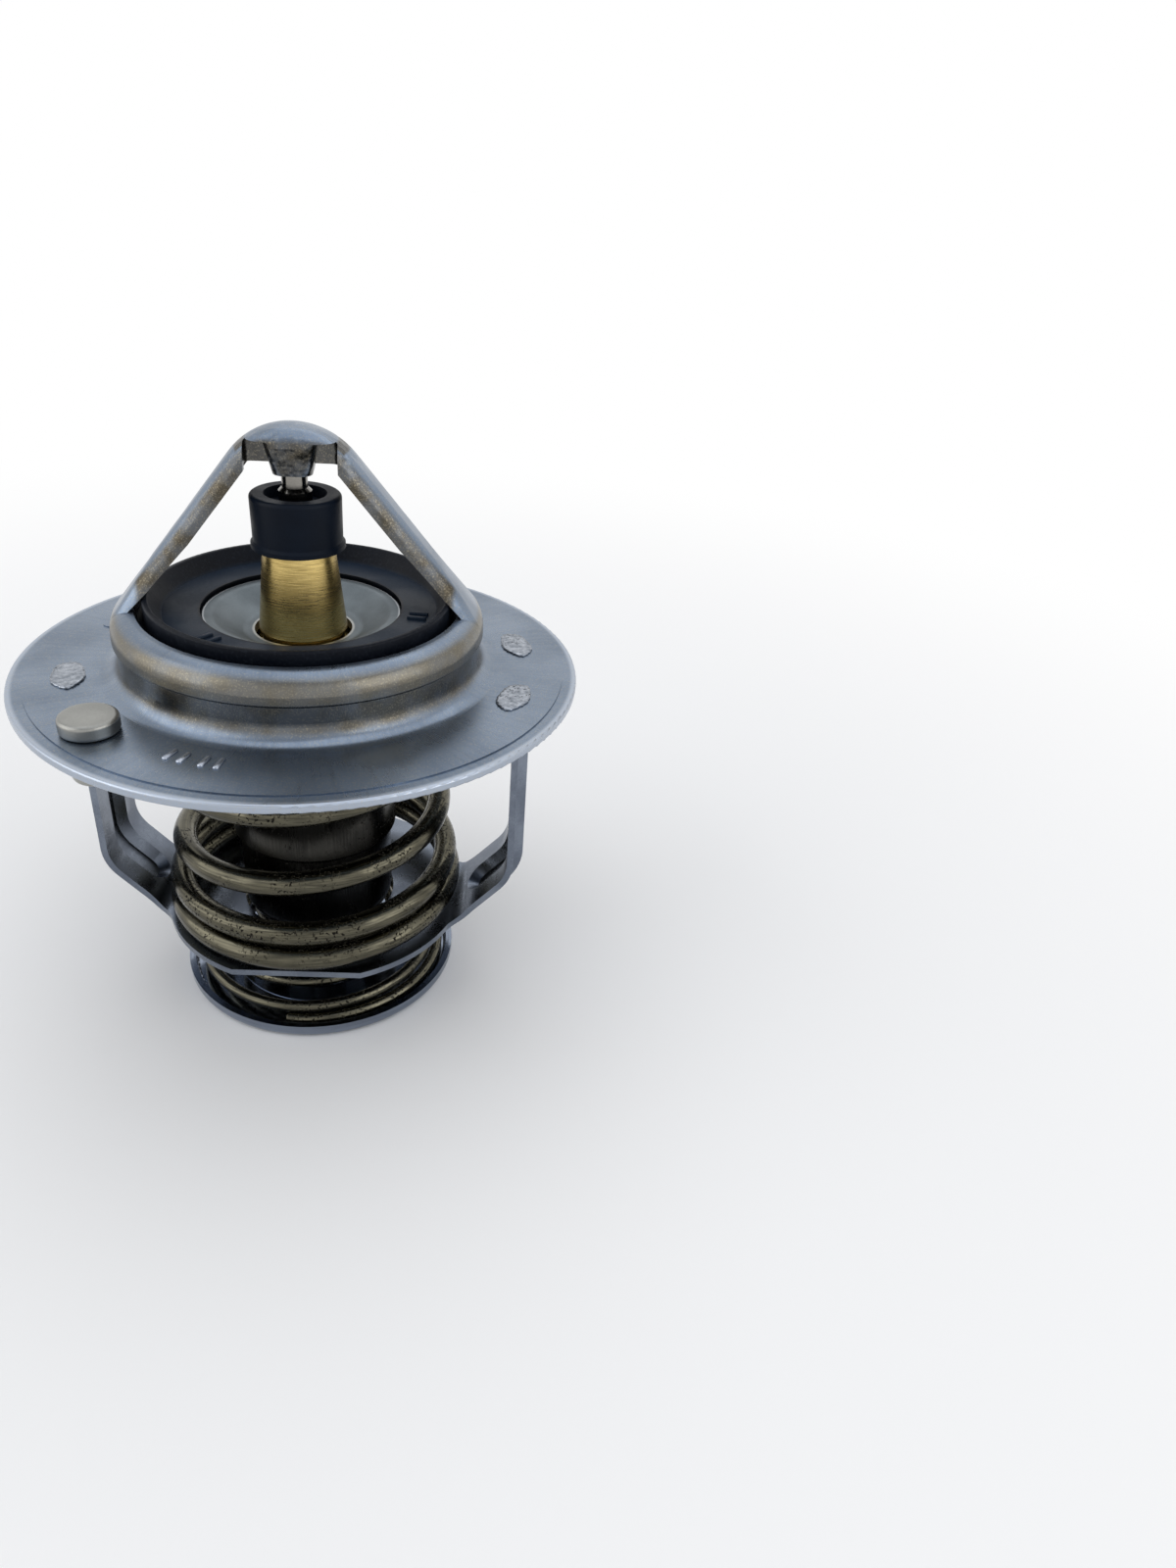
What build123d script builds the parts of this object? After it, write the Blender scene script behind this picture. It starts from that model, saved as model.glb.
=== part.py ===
from build123d import *
from math import acos, atan2, cos, degrees, hypot, radians, sin
import os

os.makedirs("parts", exist_ok=True)

# Wax-element engine thermostat with a bottom bypass valve. Millimetres.
# Origin: centre of the underside of the bypass valve. +Z is up the piston, and +X runs
# along the bridge that carries the piston.

# ------------------------------------------------------------- driving dimensions
# Upper frame: flange, seat dome and bridge, pressed from one sheet
flange_r = 32.0             # rim of the flange
flange_height = 43.9        # top face of the flange above the underside of the bypass valve
upper_sheet = 1.0           # sheet of the upper frame
land_width = 1.7            # clamping land round the rim
land_drop = 0.15            # step down from the flange to the land, on both faces
rim_round = 0.25            # rounding of the rim's two edges
dome_rise = 7.5             # top of the seat above the flange
band_rise = 4.0             # where the upper band starts, above the flange
band_step = 0.4             # how far the band stands out from the wall below it
foot_round = 2.2            # sweep from the dome's wall into the flange
shoulder_round = 2.2        # rounding over the seat
seat_r = 18.0               # opening that the main valve closes
seat_ledge = 2.7            # from the opening to the outside of the dome's upper band
bridge_rise = 27.3          # top of the bridge above the flange
crown_r = 8.5               # rounding over the top of the bridge
arm_width = 6.4             # width of each bridge arm
arm_root_width = 16.4       # width of each arm where it meets the dome
arm_flare = 6.2             # length over which the arms widen, inwards from the dome's outside
arm_depth = 2.2             # depth of the folded channel of an arm
arm_round = 2.0             # rounding of the folded edges
arm_foot_in = 0.6           # the arms' cone meets the seat's level this far inside the dome
pocket_width = 5.9          # crimped pocket that holds the piston, along the bridge
pocket_drop = 5.0           # how far the pocket's mouth lies below the top of the bridge
pocket_mouth = 4.2          # width of the pocket's mouth
pocket_mouth_depth = 5.2    # the mouth across the bridge
pocket_root_inset = 0.1     # how far the pocket's root lies inside the bridge's sheet
pocket_swell = 0.4          # how much wider the pocket is than the arms, before it is cut flush
pocket_round = 1.4          # rounding of the pocket's upright edges
crimp_width = 1.9           # dents beside the pocket that press the arms' two walls together
crimp_drop = 1.6            # top of the dents below the top of the bridge
crimp_round = 0.7           # rounding of the dents' corners
arm_heel_round = 3.0        # rounding where the arms' cone meets the dome's band
arm_flare_round = 6.0       # rounding of the strap where it starts to widen
arm_shelf = 1.7             # flat under the crown, below the depth of the channel
channel_bend_in = 9.5       # where the channel starts to get shallower, inside the dome's outside
channel_end_in = 4.7        # where it has run out, inside the dome's outside
channel_end_depth = 1.7     # depth left there
channel_round = 1.2         # rounding of the channel's cut edge
socket_depth = 3.2          # socket in the pocket for the piston's reduced end
weld_out = 1.0              # projection welds outwards from the inner face of a leg
weld_turn = 16.5            # angle of a weld from the middle of its leg
weld_height = 0.12          # how far a weld mark stands up from the flange
weld_half_width = 1.7       # weld mark, outwards from the axis
weld_half_length = 3.2      # weld mark, round the flange
weld_dot_r = 1.0            # the one small round mark

# Lower frame: two legs and the plate that the main spring stands on
leg_turn = -5.0             # direction of the legs, degrees from the bridge
lower_sheet = 0.8           # sheet of the lower frame
leg_width = 11.0            # width of a leg
leg_r = 24.7                # inner face of a leg from the axis
knee_height = 17.3          # where a leg turns inwards
seat_height = 10.8          # top of the plate that the main spring stands on
toe_gap = 1.39              # from the middle of the bottom coil's wire to where a leg meets that plate
knee_round = 5.0            # bend at the knee
toe_round = 2.4             # bend where a leg meets the plate
foot_bend = 1.8             # bend between a leg and its foot
throat_round = 4.0          # corner between a leg and the edge of the plate
seat_plate_r = 18.9         # corners of that plate
seat_plate_width = 34.6     # width of that plate across its two straight edges
foot_reach = 4.1            # length of a foot outwards from the leg's inner face
foot_width = 20.4           # width of a foot
rib_width = 6.0             # stiffening rib pressed into each leg
rib_depth = 1.2
rib_top_drop = 5.0          # upper end of the rib below the flange
rib_toe_gap = 2.6           # lower end of the rib outwards from where the leg meets the plate
rib_taper = 1.0             # how much narrower each side of the rib is at its crest
ear_start = 6.2             # where an ear of a foot starts, from the middle of its leg
ear_inset = 1.6             # how far an ear reaches inwards past the leg's inner face
ear_round = 1.2

# Wax element
cup_r = 10.05               # wax cup, upper part
cup_lower_r = 9.4           # wax cup, lower part
cup_wall = 0.9
cup_bottom = 9.6            # underside of the wax cup
cup_step = 21.1             # where the cup changes diameter
cup_step_rise = 0.7         # height of the cone between the two diameters
cup_round = 2.4             # outer edge of the cup's bottom
cup_inner_round = 1.5       # inner edge of the cup's bottom
crimp_in = 1.7              # how far the rolled rim of the cup reaches over the guide's flange
crimp_drop = 1.5            # depth of the rolled rim's inner slope
crimp_edge = 0.2            # start of that slope from the cup's outside
cup_collar_inset = 6.0      # edge of the collar that the valve plate sits on, inside the seat
cup_collar = 1.3            # thickness of the collar
guide_base_r = 5.0          # brass guide, foot of the cone
guide_tip_r = 3.95          # brass guide, top of the cone
guide_rise = 14.0           # top of the cone above the flange
guide_nose_r = 3.7          # cylinder that carries the dust cap
guide_nose = 3.8            # length of that cylinder
guide_flange_r = 9.1        # flange held in the cup's rolled rim
guide_flange = 1.8          # thickness of that flange
guide_flange_drop = 1.0     # top of that flange below the cup's collar
guide_neck = 0.4            # undercut below the foot of the cone
piston_r = 1.8
piston_tip_r = 1.4          # reduced end held in the pocket
piston_tip_rise = 20.6      # shoulder of the reduced end above the flange
piston_end = 29.0           # lower end of the piston
piston_point_r = 0.7        # blunt point at that end
piston_point = 4.0          # length of the point
tip_chamfer = 0.4           # slope between the piston and its reduced end
cap_r = 4.95                # dust cap
cap_lip_r = 5.15
cap_rise = 19.9             # top of the dust cap above the flange
cap_recess = 1.2            # depth of the recess in its top
cap_recess_r = 3.2
sleeve_r = 4.2              # rubber sleeve round the piston, in the wax
sleeve_end = 1.6            # thickness of its closed end
sleeve_flange = 0.8         # thickness of its clamped rim
sleeve_gap = 0.3            # room below the point of the piston
sleeve_round = 1.2          # rounding of its closed end
ring_bore_r = 3.0           # counterbore that holds the guide's seal
ring_seal = 1.6             # height of the seal
ring_backup = 0.8           # height of the backing ring

# Main valve
plate_sheet = 1.0           # valve plate
plate_hole_r = 5.5
plate_dish_r = 10.4         # outer edge of the dish
plate_dish = 2.05           # depth of the dish
plate_inset = 0.4           # rim of the plate, inside the seat
plate_top = 5.75            # top of the plate's rim above the flange
plate_land_r = 11.0         # bare metal inside the rubber
plate_land = 0.5            # how far the bare part stands above the rim
seal_overlap = 0.9          # rubber under the seat
seal_lip_gap = 0.9          # lip that stands up inside the seat, from the seat's edge
seal_lip_rise = 8.7         # top of the lip above the flange
seal_lip_width = 1.9        # from the lip's edge to the flat ring of rubber
seal_rise = 6.8             # flat ring above the flange
seal_wrap = 0.85            # rubber below the rim of the plate
retainer_sheet = 0.9        # cup that takes the upper end of the main spring
retainer_rim = 2.2          # depth of its turned-down rim

# Springs
main_wire = 2.9
main_bottom_r = 17.2        # mean radius of the bottom coil
main_middle_r = 15.7        # mean radius of the third coil
main_low_taper = 0.5        # how much the radius shrinks over the nearly closed turns
main_top_taper = 0.3        # and over the last open half turn
main_side_gap = 0.4         # top coil inside the retainer's rim
main_turns = 5.6
# turn, height over the bottom end in wire diameters: the first turn climbs over its own cut end
main_rises = ((0, 0), (0.5, 0.16), (1.0, 1.02), (1.5, 1.35), (2.0, 2.3), (2.5, 3.7))
bypass_wire = 1.45
bypass_bottom_r = 15.6      # mean radius of the widest coil
bypass_top_r = 6.9          # mean radius of the narrowest coil
bypass_turns = 4.75
coil_steps = 12             # points to the turn
main_closed_turns = 1.5     # nearly closed turns at the bottom of the main spring
main_end_turns = 0.6        # flat part of its top coil
main_start = 97.0           # direction of the cut end of its bottom coil, degrees
bypass_end_turns = 0.75     # flat part of the bypass spring's top coil
bypass_start = -102.0       # direction of its lower cut end
bypass_nest = 0.9           # rise of its first turn, in wire diameters
bypass_nest_in = 0.7        # how far that turn winds inwards

# Bypass valve
bypass_r = 17.5             # rim of the valve
bypass_sheet = 0.8
bypass_rim = 1.9            # height of the rim
bypass_hub_r = 6.5          # raised middle of the valve
bypass_hub = 1.8            # how far the middle is raised
bypass_collar_r = 3.6       # drawn collar round the stem
bypass_collar = 1.7         # height of that collar
bypass_slope = 1.6          # run of the slope between the floor and the raised middle
bypass_rings = (9.6, 10.6, 11.6)
bypass_ring_half = 0.15     # half the width of a turned ring in the floor
bypass_ring_depth = 0.08
stem_r = 2.5
stem_head_r = 5.2           # head welded to the wax cup
stem_head = 0.8
stem_end = 0.5              # end of the stem above the underside of the valve
clip_r = 4.4                # ring that holds the valve on the stem
clip_sheet = 0.7
clip_notch_r = 0.9
groove_depth = 0.6          # groove in the stem that holds the clip

# Jiggle pin, which lets air through the flange
jiggle_out = 0.1            # its place, outwards from the middle of the flange's flat ring
jiggle_turn = -138.2        # its direction, degrees
jiggle_head_r = 3.0
jiggle_head = 1.8
jiggle_shank_r = 0.95
jiggle_hole_r = 1.35
jiggle_weight_r = 2.5
jiggle_weight = 3.0
jiggle_lift = 1.5           # how far it can rise
jiggle_seat = 0.6           # how far the shank reaches into the head

# Clearances
running_gap = 0.06          # piston in its guide, valve on its stem
cup_gap = 0.2               # wax cup in the hole of the seat plate
valve_gap = 0.02            # closed valve under its seat
spring_gap = 0.12           # end coil of a spring and the piece that moves away from it
retainer_gap = 0.1          # retainer round the wax cup

# ------------------------------------------------------------- derived places
dome_r = seat_r + seat_ledge
wall_r = dome_r - band_step
arm_flare_x = dome_r - arm_flare
channel_bend_x = dome_r - channel_bend_in
channel_end_x = dome_r - channel_end_in
weld_r = leg_r + weld_out
toe_r = main_bottom_r + toe_gap
cup_collar_r = seat_r - cup_collar_inset
plate_r = seat_r - plate_inset
retainer_r = plate_r
seal_r = seat_r + seal_overlap
seal_lip_r = seat_r - seal_lip_gap
seal_flat_r = seal_lip_r - seal_lip_width
main_top_r = retainer_r - retainer_sheet - main_side_gap - main_wire / 2
ring_in = wall_r + foot_round
ring_out = flange_r - land_width
jiggle_at_r = (ring_in + ring_out) / 2 + jiggle_out
flange_top = flange_height
flange_under = flange_top - upper_sheet
seat_top = flange_top + dome_rise
seat_under = seat_top - upper_sheet
bridge_top = flange_top + bridge_rise
crown_centre = bridge_top - crown_r
pocket_low = bridge_top - pocket_drop
shelf = bridge_top - arm_depth - arm_shelf
plate_rim_top = flange_top + plate_top
plate_under = plate_rim_top - plate_sheet
collar_low = plate_under - cup_collar
retainer_under = plate_under - retainer_sheet
seat_hole_r = cup_lower_r + cup_gap
cup_floor = cup_bottom + cup_wall
guide_flange_top = collar_low - guide_flange_drop
guide_flange_low = guide_flange_top - guide_flange
guide_cone_low = plate_rim_top + plate_land - plate_dish - 0.1
guide_cone_top = flange_top + guide_rise
guide_top = guide_cone_top + guide_nose
bore_r = piston_r + running_gap
hub_top = bypass_hub + bypass_sheet
sleeve_floor = piston_end - sleeve_gap
sleeve_tip = sleeve_floor - sleeve_end


def radial_plane(turn):
    """Upright plane through the axis: its x runs outwards, its y upwards."""
    outwards = (cos(radians(turn)), sin(radians(turn)), 0)
    return Plane(origin=(0, 0, 0), x_dir=outwards, z_dir=(outwards[1], -outwards[0], 0))


def between(table, value):
    """Straight-line reading of a table of (value, result) pairs."""
    for (low, first), (high, second) in zip(table, table[1:]):
        if value <= high:
            return first + (second - first) * (value - low) / (high - low)
    return table[-1][1]


def coil(radii, heights, turns, start):
    """Points round a coil, from tables over the turn number."""
    steps = round(turns * coil_steps)
    points = []
    for step in range(steps + 1):
        turn = turns * step / steps
        angle = radians(start + 360 * turn)
        r = between(radii, turn)
        points.append((r * cos(angle), r * sin(angle), between(heights, turn)))
    return points


# ------------------------------------------------------------- upper frame
# The arms lie on a cone that is tangent to the ball over the bridge and meets the dome's band.
arm_foot = seat_top - 0.25 * shoulder_round
foot_r = dome_r - arm_foot_in
reach = hypot(foot_r, crown_centre - arm_foot)
cone_turn = degrees(acos(crown_r / reach) - atan2(crown_centre - arm_foot, foot_r))
cone_out = (cos(radians(cone_turn)), sin(radians(cone_turn)))


def cone_point(inset, x):
    """Point of the cone's side line, moved inwards by inset, at a distance x from the axis."""
    level = crown_r - inset + cone_out[1] * crown_centre
    return (x, (level - cone_out[0] * x) / cone_out[1])


def bridge_form(inset, low):
    """Half section of the solid under the bridge's skin, moved inwards by inset."""
    r = crown_r - inset
    wall = dome_r - inset
    touch = (r * cone_out[0], crown_centre + r * cone_out[1])
    half_turn = radians((90 + cone_turn) / 2)
    middle = (r * cos(half_turn), crown_centre + r * sin(half_turn))
    with BuildSketch(Plane.XZ) as section:
        with BuildLine():
            Polyline((0, crown_centre + r), (0, low), (wall, low), cone_point(inset, wall), touch)
            ThreePointArc(touch, middle, (0, crown_centre + r))
        make_face()
        corner = section.vertices().sort_by_distance(Vector(*cone_point(inset, wall)))[0]
        fillet(corner, radius=arm_heel_round - inset)
    return section.sketch


def arm_plan(inset):
    """Outline of the bridge from above: a strap that widens towards the dome."""
    half = arm_width / 2 - inset
    root = arm_root_width / 2 - inset
    quarter = [(arm_flare_x, half), (dome_r, root)]
    right = quarter + [(x, -y) for x, y in reversed(quarter)]
    left = [(-x, -y) for x, y in right]
    with BuildSketch() as plan:
        Polygon(*right, *left, align=None)
        bends = [v for v in plan.vertices() if abs(v.X) < arm_flare_x + 1]
        fillet(bends, radius=arm_flare_round)
    return plan.sketch


def bridge_solid(inset, low, rounding):
    """Solid under the bridge's skin, with its long edges rounded."""
    section = bridge_form(inset, low)
    plan = arm_plan(inset)
    with BuildPart() as solid:
        revolve(section, axis=Axis.Z)
        extrude(plan, amount=bridge_top, mode=Mode.INTERSECT)
        side = arm_width / 2 - inset - 1.2
        long_edges = [
            e for e in solid.edges()
            if e.center().Z > seat_top + 1 and abs(e.center().Y) > side
        ]
        fillet(long_edges, radius=rounding)
    return solid.part


def arm_hollow():
    """Open space below the channel of the arms, seen along the bridge's side."""
    shelf_x = (crown_r - arm_depth + cone_out[1] * (crown_centre - shelf)) / cone_out[0]
    bend = cone_point(arm_depth, channel_bend_x)
    end = cone_point(channel_end_depth, channel_end_x)
    half = [(0, shelf), (shelf_x, shelf), bend, end, (seat_r, seat_top), (seat_r, flange_top - 3)]
    other = [(-x, z) for x, z in reversed(half)]
    with BuildSketch(Plane.XZ) as outline:
        Polygon(*half, *other, align=None)
        soft = [v for v in outline.vertices() if v.Y > seat_top + 1 and abs(v.X) > 1]
        fillet(soft, radius=channel_round)
    return extrude(outline.sketch, amount=dome_r, both=True)


def pocket_solid():
    """Crimped pocket in the crown of the bridge."""
    with BuildPart() as pocket:
        with BuildSketch(Plane.XY.offset(pocket_low)):
            RectangleRounded(pocket_mouth, pocket_mouth_depth, pocket_round)
        with BuildSketch(Plane.XY.offset(bridge_top - upper_sheet + pocket_root_inset)):
            RectangleRounded(pocket_width, arm_width + pocket_swell, pocket_round)
        loft()
    return pocket.part


def crimp_solid():
    """Full width of the crown round the pocket and its dents, above the shelf."""
    length = pocket_width + 2 * (crimp_width + upper_sheet)
    return Plane.XY.offset(shelf) * Box(
        length, arm_width, crown_r, align=(Align.CENTER, Align.CENTER, Align.MIN)
    )


def crimp_dents():
    """Dents on both sides of the crown, down to two thicknesses of sheet."""
    depth = arm_width / 2 - upper_sheet + 1
    with BuildPart() as dents:
        with BuildSketch(Plane.XY.offset(shelf - 1)):
            with Locations(*[(0, side * (upper_sheet + depth / 2)) for side in (-1, 1)]):
                RectangleRounded(pocket_width + 2 * crimp_width, depth, crimp_round)
        extrude(amount=bridge_top - crimp_drop - shelf + 1)
    return dents.part


# The bridge is its skin, less the channel and the space below it, with the pocket left in.
band_top = flange_top + band_rise + band_step
inside_dome = Plane.XY.offset(band_top) * Cylinder(
    dome_r - upper_sheet, seat_under - band_top, align=(Align.CENTER, Align.CENTER, Align.MIN)
)
hollow = bridge_solid(upper_sheet, seat_top - 3, arm_round - upper_sheet + 0.1)
above_seat = Plane.XY.offset(seat_top) * Cylinder(
    dome_r, bridge_rise, align=(Align.CENTER, Align.CENTER, Align.MIN)
)
hollow = hollow & above_seat
channel = (hollow - crimp_solid()) + arm_hollow() + crimp_dents() - pocket_solid()
bridge = bridge_solid(0, band_top, arm_round) - inside_dome - channel

with BuildPart() as upper_frame:
    # dome and flange, as one turned section
    with BuildSketch(Plane.XZ):
        with BuildLine():
            Polyline(
                (seat_r, seat_top),
                (dome_r, seat_top),
                (dome_r, band_top),
                (wall_r, flange_top + band_rise),
                (wall_r, flange_top),
                (flange_r - land_width, flange_top),
                (flange_r - land_width, flange_top - land_drop),
                (flange_r, flange_top - land_drop),
                (flange_r, flange_under - land_drop),
                (flange_r - land_width, flange_under - land_drop),
                (flange_r - land_width, flange_under),
                (wall_r - upper_sheet, flange_under),
                (wall_r - upper_sheet, flange_top + band_rise),
                (dome_r - upper_sheet, band_top),
                (dome_r - upper_sheet, seat_under),
                (seat_r, seat_under),
                (seat_r, seat_top),
            )
        make_face()
        corners = {
            (dome_r, seat_top): shoulder_round,
            (dome_r - upper_sheet, seat_under): shoulder_round - upper_sheet,
            (wall_r, flange_top): foot_round,
            (wall_r - upper_sheet, flange_under): foot_round + upper_sheet - 0.6,
            (flange_r, flange_top - land_drop): rim_round,
            (flange_r, flange_under - land_drop): rim_round,
        }
        for (x, z), radius in corners.items():
            corner = vertices().sort_by_distance(Vector(x, z))[0]
            fillet(corner, radius=radius)
    revolve(axis=Axis.Z)
    add(bridge)
    # socket for the piston's reduced end
    with Locations((0, 0, pocket_low)):
        Cylinder(
            piston_tip_r, socket_depth, align=(Align.CENTER, Align.CENTER, Align.MIN), mode=Mode.SUBTRACT
        )
    # hole for the jiggle pin
    with BuildSketch(Plane.XY.offset(flange_under - 1)):
        with PolarLocations(jiggle_at_r, 1, start_angle=jiggle_turn):
            Circle(jiggle_hole_r)
    extrude(amount=upper_sheet + 2, mode=Mode.SUBTRACT)
    # marks of the projection welds that hold the lower frame
    with BuildSketch(Plane.XY.offset(flange_top)):
        for turn in (leg_turn - weld_turn, leg_turn + weld_turn, leg_turn + 180 + weld_turn):
            with PolarLocations(weld_r, 1, start_angle=turn):
                Ellipse(weld_half_width, weld_half_length)
        with PolarLocations(weld_r, 1, start_angle=leg_turn + 180 - weld_turn):
            Circle(weld_dot_r)
    extrude(amount=weld_height)
upper_frame.part.label = "upper_frame"
export_step(upper_frame.part, "parts/upper_frame.step")

# ------------------------------------------------------------- lower frame
leg_plane = radial_plane(leg_turn)
leg_sketch_plane = Plane.XY.rotated((0, 0, leg_turn))
knee = (leg_r, knee_height)
toe = (toe_r, seat_height)
foot = (leg_r + foot_reach, flange_under)
heel = (leg_r, flange_under)
rib_toe = (toe_r + rib_toe_gap, toe[1] + rib_toe_gap * (knee[1] - toe[1]) / (knee[0] - toe[0]))


def rib_solid(half_low, half_high, low, high):
    """Rib along one leg: a tapered bar from low to high outside the leg's inner face."""
    with BuildLine(leg_plane) as route:
        FilletPolyline((leg_r, flange_under - rib_top_drop), knee, rib_toe, radius=knee_round)
    start = Plane(origin=route.line @ 0, x_dir=leg_plane.z_dir, z_dir=route.line % 0)
    end = Plane(origin=route.line @ 1, x_dir=leg_plane.z_dir, z_dir=route.line % 1)
    outline = [(-half_low, low), (half_low, low), (half_high, high), (-half_high, high)]
    outwards = 1 if start.y_dir.dot(leg_plane.x_dir) > 0 else -1
    outline = [(x, outwards * y) for x, y in outline]
    half = [(0, outline[1][1]), outline[1], outline[2], (0, outline[2][1])]
    with BuildPart() as rib:
        with BuildSketch(start):
            Polygon(*outline, align=None)
        sweep(path=route.line)
        for plane in (start, end):
            with BuildSketch(plane):
                Polygon(*half, align=None)
            revolve(axis=Axis(plane.origin, plane.y_dir))
    return rib.part


rib_outside = rib_solid(rib_width / 2, rib_width / 2 - rib_taper, 0.1, lower_sheet + rib_depth)
rib_inside = rib_solid(
    rib_width / 2 - 0.3, rib_width / 2 - rib_taper - 0.5, -0.5, rib_depth
)
with BuildPart() as lower_frame:
    # both legs, their feet and the seat plate, as one strip bent along its length
    with BuildLine(leg_plane) as strip_line:
        half_line = [foot, heel, knee, toe]
        FilletPolyline(
            *half_line,
            *[(-x, z) for x, z in reversed(half_line)],
            radius=[foot_bend, knee_round, toe_round, toe_round, knee_round, foot_bend],
        )
    strip_start = Plane(origin=strip_line.line @ 0, x_dir=leg_plane.z_dir, z_dir=strip_line.line % 0)
    with BuildSketch(strip_start):
        below = -1 if strip_start.y_dir.Z > 0 else 1
        with Locations((0, below * lower_sheet / 2)):
            Rectangle(seat_plate_width, lower_sheet)
    sweep(path=strip_line.line)
    # outline of the blank, seen from above
    with BuildSketch(leg_sketch_plane) as blank:
        Circle(seat_plate_r)
        Rectangle(2 * flange_r, seat_plate_width, mode=Mode.INTERSECT)
        Rectangle(2 * (leg_r + foot_reach - 1), leg_width)
        throats = [
            v for v in blank.vertices()
            if abs(abs(v.Y) - leg_width / 2) < 0.01 and abs(v.X) < seat_plate_r
        ]
        fillet(throats, radius=throat_round)
        for side in (-1, 1):
            with Locations((side * (leg_r + foot_reach / 2 + 0.6), 0)):
                RectangleRounded(foot_reach - ear_round, foot_width, ear_round)
        Circle(seat_hole_r, mode=Mode.SUBTRACT)
    extrude(amount=flange_top, mode=Mode.INTERSECT)
    # ears of the feet, beside each leg, where the frame is welded
    with BuildSketch(leg_sketch_plane.offset(flange_under - lower_sheet)):
        ear_in = leg_r - ear_inset
        ear_out = leg_r + foot_reach
        ear_x = (ear_in + ear_out) / 2
        ear_y = (ear_start + foot_width / 2) / 2
        for side_x in (-1, 1):
            for side_y in (-1, 1):
                with Locations((side_x * ear_x, side_y * ear_y)):
                    RectangleRounded(ear_out - ear_in, foot_width / 2 - ear_start, ear_round)
    extrude(amount=lower_sheet)
    for turn in (0, 180):
        add(rib_outside.rotate(Axis.Z, turn))
    for turn in (0, 180):
        add(rib_inside.rotate(Axis.Z, turn), mode=Mode.SUBTRACT)
lower_frame.part.label = "lower_frame"
export_step(lower_frame.part, "parts/lower_frame.step")

# ------------------------------------------------------------- piston
with BuildPart() as piston:
    with BuildSketch(Plane.XZ):
        Polygon(
            (0, piston_end),
            (piston_point_r, piston_end),
            (piston_r, piston_end + piston_point),
            (piston_r, flange_top + piston_tip_rise - tip_chamfer),
            (piston_tip_r, flange_top + piston_tip_rise),
            (piston_tip_r, pocket_low + socket_depth - 0.2),
            (piston_tip_r - 0.3, pocket_low + socket_depth),
            (0, pocket_low + socket_depth),
            align=None,
        )
    revolve(axis=Axis.Z)
piston.part.label = "piston"
export_step(piston.part, "parts/piston.step")

# ------------------------------------------------------------- wax element
with BuildPart() as guide:
    with BuildSketch(Plane.XZ) as guide_section:
        Polygon(
            (bore_r, guide_flange_low),
            (guide_flange_r, guide_flange_low),
            (guide_flange_r, guide_flange_top),
            (guide_base_r - guide_neck, guide_flange_top),
            (guide_base_r - guide_neck, guide_cone_low),
            (guide_base_r, guide_cone_low),
            (guide_tip_r, guide_cone_top),
            (guide_nose_r, guide_cone_top),
            (guide_nose_r, guide_top),
            (ring_bore_r, guide_top),
            (ring_bore_r, guide_top - ring_seal - ring_backup),
            (bore_r, guide_top - ring_seal - ring_backup),
            align=None,
        )
        low_edge = guide_section.vertices().sort_by_distance(Vector(guide_base_r, guide_cone_low))[0]
        fillet(low_edge, radius=0.32)
    revolve(axis=Axis.Z)
guide.part.label = "guide"
export_step(guide.part, "parts/guide.step")

with BuildPart() as guide_seal:
    with BuildSketch(Plane.XZ):
        with Locations(((bore_r + ring_bore_r) / 2, guide_top - ring_backup - ring_seal / 2)):
            RectangleRounded(ring_bore_r - bore_r, ring_seal, 0.3)
    revolve(axis=Axis.Z)
guide_seal.part.label = "guide_seal"
export_step(guide_seal.part, "parts/guide_seal.step")

with BuildPart() as backup_ring:
    with BuildSketch(Plane.XY.offset(guide_top - ring_backup)):
        Circle(ring_bore_r)
        Circle(bore_r, mode=Mode.SUBTRACT)
    extrude(amount=ring_backup)
backup_ring.part.label = "backup_ring"
export_step(backup_ring.part, "parts/backup_ring.step")

cap_low = guide_cone_top
cap_top = flange_top + cap_rise
with BuildPart() as dust_cap:
    with BuildSketch(Plane.XZ) as cap_section:
        Polygon(
            (bore_r + 0.1, guide_top),
            (guide_nose_r, guide_top),
            (guide_nose_r, cap_low),
            (cap_lip_r, cap_low),
            (cap_lip_r, cap_low + 0.5),
            (cap_lip_r - 0.25, cap_low + 0.8),
            (cap_r, cap_top),
            (cap_recess_r + 0.2, cap_top),
            (cap_recess_r, cap_top - cap_recess),
            (bore_r + 0.1, cap_top - cap_recess),
            align=None,
        )
        top_edge = cap_section.vertices().sort_by_distance(Vector(cap_r, cap_top))[0]
        fillet(top_edge, radius=0.45)
    revolve(axis=Axis.Z)
dust_cap.part.label = "dust_cap"
export_step(dust_cap.part, "parts/dust_cap.step")

sleeve_top = guide_flange_low
with BuildPart() as rubber_sleeve:
    with BuildSketch(Plane.XZ) as sleeve_section:
        Polygon(
            (0, sleeve_tip),
            (sleeve_r, sleeve_tip),
            (sleeve_r, sleeve_top - sleeve_flange),
            (cup_r - cup_wall, sleeve_top - sleeve_flange),
            (cup_r - cup_wall, sleeve_top),
            (bore_r, sleeve_top),
            (bore_r, sleeve_floor),
            (0, sleeve_floor),
            align=None,
        )
        tip = sleeve_section.vertices().sort_by_distance(Vector(sleeve_r, sleeve_tip))[0]
        fillet(tip, radius=sleeve_round)
    revolve(axis=Axis.Z)
rubber_sleeve.part.label = "rubber_sleeve"
export_step(rubber_sleeve.part, "parts/rubber_sleeve.step")

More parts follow.
